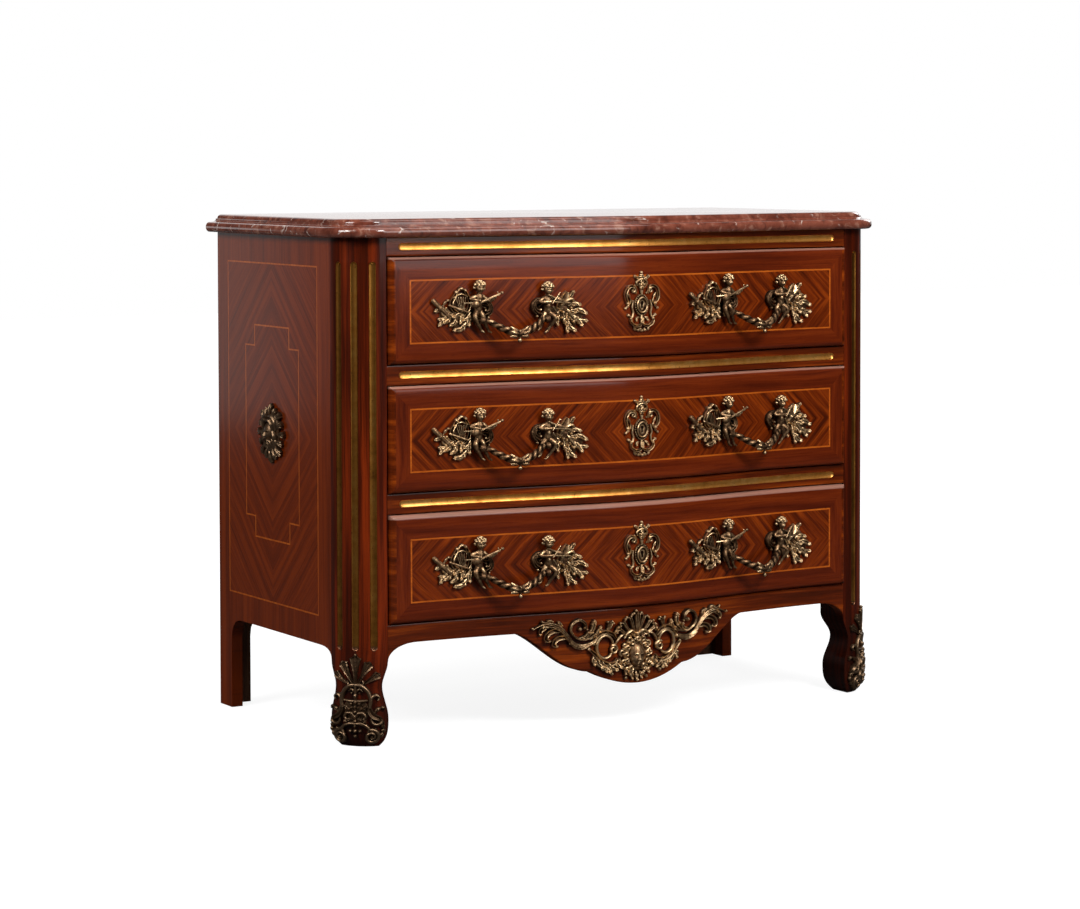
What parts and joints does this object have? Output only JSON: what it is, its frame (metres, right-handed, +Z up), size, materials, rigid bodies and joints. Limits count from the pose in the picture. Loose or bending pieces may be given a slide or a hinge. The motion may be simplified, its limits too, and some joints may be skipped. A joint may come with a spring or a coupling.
{
  "type": "commode chest",
  "caption": "Commode chest with a bowed veneered front, deep drawers, brass-lined flutes, cast bronze mounts with swinging bail handles and a moulded marble top.",
  "frame": {"origin": "centre of the footprint's bounding box on the floor", "axes": "+X to the right seen from the front, the drawers open towards -Y, +Z up"},
  "size_m": [1.081, 0.5688, 0.85],
  "materials": {
    "veneer": "red-brown veneer under a gloss polish",
    "carcass_wood": "plain dark stained wood",
    "drawer_wood": "plain unpolished wood",
    "marble": "polished brown-red marble with pale veins",
    "brass": "polished sheet with age spots",
    "bronze": "cast bronze, dark in the recesses",
    "lock_steel": "dull"
  },
  "bodies": {
    "carcass": {"marble_top": "marble", "left_side_panel": "veneer", "right_side_panel": "veneer", "front_left_post": "veneer", "front_right_post": "veneer", "top_rail": "veneer", "upper_rail": "veneer", "lower_rail": "veneer", "apron": "veneer", "back_panel": "carcass_wood", "upper_dust_board": "carcass_wood", "lower_dust_board": "carcass_wood", "bottom_board": "carcass_wood", "top_rail_flute": "brass", "upper_rail_flute": "brass", "lower_rail_flute": "brass", "left_post_flute_1": "brass", "left_post_flute_2": "brass", "left_post_flute_3": "brass", "right_post_flute_1": "brass", "right_post_flute_2": "brass", "right_post_flute_3": "brass", "left_foot_mount": "bronze", "right_foot_mount": "bronze", "left_side_mount": "bronze", "right_side_mount": "bronze", "apron_mount": "bronze"},
    "upper_drawer": {"upper_drawer_front": "veneer", "upper_drawer_box": "drawer_wood", "upper_drawer_bottom": "drawer_wood", "upper_drawer_lock": "lock_steel", "upper_escutcheon": "bronze", "upper_left_handle_left_plate": "bronze", "upper_left_handle_right_plate": "bronze", "upper_right_handle_left_plate": "bronze", "upper_right_handle_right_plate": "bronze"},
    "upper_left_bail": {"upper_left_bail": "bronze"},
    "upper_right_bail": {"upper_right_bail": "bronze"},
    "middle_drawer": {"middle_drawer_front": "veneer", "middle_drawer_box": "drawer_wood", "middle_drawer_bottom": "drawer_wood", "middle_drawer_lock": "lock_steel", "middle_escutcheon": "bronze", "middle_left_handle_left_plate": "bronze", "middle_left_handle_right_plate": "bronze", "middle_right_handle_left_plate": "bronze", "middle_right_handle_right_plate": "bronze"},
    "middle_left_bail": {"middle_left_bail": "bronze"},
    "middle_right_bail": {"middle_right_bail": "bronze"},
    "lower_drawer": {"lower_drawer_front": "veneer", "lower_drawer_box": "drawer_wood", "lower_drawer_bottom": "drawer_wood", "lower_drawer_lock": "lock_steel", "lower_escutcheon": "bronze", "lower_left_handle_left_plate": "bronze", "lower_left_handle_right_plate": "bronze", "lower_right_handle_left_plate": "bronze", "lower_right_handle_right_plate": "bronze"},
    "lower_left_bail": {"lower_left_bail": "bronze"},
    "lower_right_bail": {"lower_right_bail": "bronze"}
  },
  "joints": [
    {"name": "upper_drawer_slide", "type": "slide", "parent": "carcass", "child": "upper_drawer", "axis": [0, -1, 0], "range_m": [0, 0.33]},
    {"name": "upper_left_bail_hinge", "type": "hinge", "parent": "upper_drawer", "child": "upper_left_bail", "pos_m": [-0.23939, -0.25807, 0.684], "axis": [-0.992, 0.1259, 0], "range_deg": [0, 80]},
    {"name": "upper_right_bail_hinge", "type": "hinge", "parent": "upper_drawer", "child": "upper_right_bail", "pos_m": [0.23939, -0.25807, 0.684], "axis": [-0.992, -0.1259, 0], "range_deg": [0, 80]},
    {"name": "middle_drawer_slide", "type": "slide", "parent": "carcass", "child": "middle_drawer", "axis": [0, -1, 0], "range_m": [0, 0.33]},
    {"name": "middle_left_bail_hinge", "type": "hinge", "parent": "middle_drawer", "child": "middle_left_bail", "pos_m": [-0.23939, -0.25807, 0.476], "axis": [-0.992, 0.1259, 0], "range_deg": [0, 80]},
    {"name": "middle_right_bail_hinge", "type": "hinge", "parent": "middle_drawer", "child": "middle_right_bail", "pos_m": [0.23939, -0.25807, 0.476], "axis": [-0.992, -0.1259, 0], "range_deg": [0, 80]},
    {"name": "lower_drawer_slide", "type": "slide", "parent": "carcass", "child": "lower_drawer", "axis": [0, -1, 0], "range_m": [0, 0.33]},
    {"name": "lower_left_bail_hinge", "type": "hinge", "parent": "lower_drawer", "child": "lower_left_bail", "pos_m": [-0.23939, -0.25807, 0.2665], "axis": [-0.992, 0.1259, 0], "range_deg": [0, 80]},
    {"name": "lower_right_bail_hinge", "type": "hinge", "parent": "lower_drawer", "child": "lower_right_bail", "pos_m": [0.23939, -0.25807, 0.2665], "axis": [-0.992, -0.1259, 0], "range_deg": [0, 80]}
  ]
}
